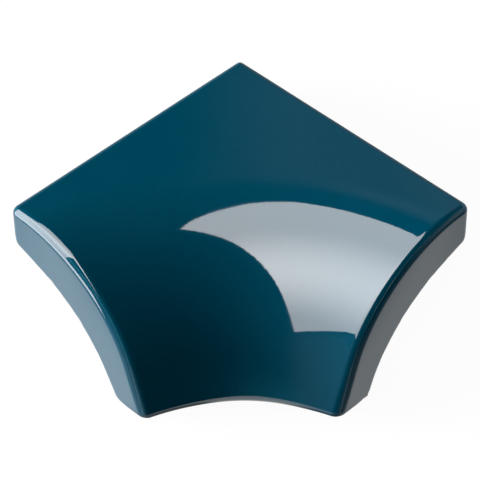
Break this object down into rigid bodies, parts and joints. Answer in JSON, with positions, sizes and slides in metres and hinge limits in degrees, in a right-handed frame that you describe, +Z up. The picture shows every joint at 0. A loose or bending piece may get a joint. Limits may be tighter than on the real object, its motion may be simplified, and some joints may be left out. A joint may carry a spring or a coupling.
{
  "type": "outside corner tile",
  "caption": "Glazed ceramic trim tile: a flat corner that bends over into a leg following a concave curve, with two flat end faces for straight trim.",
  "frame": {"origin": "on the floor, under the middle of the tile's box, as it rests glazed side up", "axes": "+Z up from the floor; +Y towards the sharp back corner of the flat; -Y towards the concave leg; X across, from the left corner to the right corner. The flat leans back 23.3 degrees, because the tile rests on its back corner and the foot of its leg"},
  "size_m": [0.0706, 0.0612, 0.0227],
  "materials": {
    "corner_tile": "gloss"
  },
  "bodies": {
    "root": {"corner_tile": "corner_tile"}
  },
  "joints": []
}
